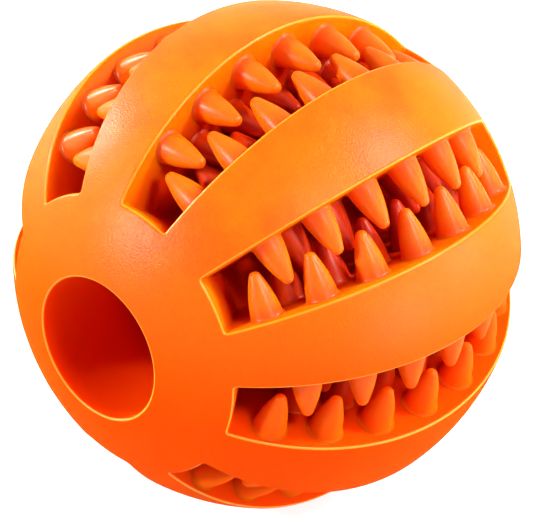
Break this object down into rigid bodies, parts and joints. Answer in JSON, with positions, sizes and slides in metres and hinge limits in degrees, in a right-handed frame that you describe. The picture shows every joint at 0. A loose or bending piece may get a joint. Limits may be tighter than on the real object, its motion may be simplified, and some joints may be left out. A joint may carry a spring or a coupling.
{
  "type": "treat dispensing ball",
  "caption": "Hollow-cored rubber ball with a hole through its poles and deep slots round its waist, lined with soft pointed teeth that hold treats.",
  "frame": {"origin": "centre of the ball", "axes": "+Y along the hole through the poles, front mouth at -Y; +Z through the middle of the first slot, +X through the middle of the third"},
  "size_m": [0.0684, 0.0666, 0.0684],
  "materials": {
    "grained_rubber": "satin orange rubber with a fine moulded grain",
    "smooth_rubber": "smooth, glossy orange rubber"
  },
  "bodies": {
    "root": {"core_tube": "smooth_rubber", "front_cap": "grained_rubber", "rear_cap": "grained_rubber", "rib_1": "grained_rubber", "rib_2": "grained_rubber", "rib_3": "grained_rubber", "rib_4": "grained_rubber", "rib_5": "grained_rubber", "rib_6": "grained_rubber", "rib_7": "grained_rubber", "rib_8": "grained_rubber", "slot_1_right_outer_teeth": "smooth_rubber", "slot_1_left_outer_teeth": "smooth_rubber", "slot_1_right_inner_teeth": "smooth_rubber", "slot_1_left_inner_teeth": "smooth_rubber", "slot_2_right_outer_teeth": "smooth_rubber", "slot_2_left_outer_teeth": "smooth_rubber", "slot_2_right_inner_teeth": "smooth_rubber", "slot_2_left_inner_teeth": "smooth_rubber", "slot_3_right_outer_teeth": "smooth_rubber", "slot_3_left_outer_teeth": "smooth_rubber", "slot_3_right_inner_teeth": "smooth_rubber", "slot_3_left_inner_teeth": "smooth_rubber", "slot_4_right_outer_teeth": "smooth_rubber", "slot_4_left_outer_teeth": "smooth_rubber", "slot_4_right_inner_teeth": "smooth_rubber", "slot_4_left_inner_teeth": "smooth_rubber", "slot_5_right_outer_teeth": "smooth_rubber", "slot_5_left_outer_teeth": "smooth_rubber", "slot_5_right_inner_teeth": "smooth_rubber", "slot_5_left_inner_teeth": "smooth_rubber", "slot_6_right_outer_teeth": "smooth_rubber", "slot_6_left_outer_teeth": "smooth_rubber", "slot_6_right_inner_teeth": "smooth_rubber", "slot_6_left_inner_teeth": "smooth_rubber", "slot_7_right_outer_teeth": "smooth_rubber", "slot_7_left_outer_teeth": "smooth_rubber", "slot_7_right_inner_teeth": "smooth_rubber", "slot_7_left_inner_teeth": "smooth_rubber", "slot_8_right_outer_teeth": "smooth_rubber", "slot_8_left_outer_teeth": "smooth_rubber", "slot_8_right_inner_teeth": "smooth_rubber", "slot_8_left_inner_teeth": "smooth_rubber"}
  },
  "joints": []
}
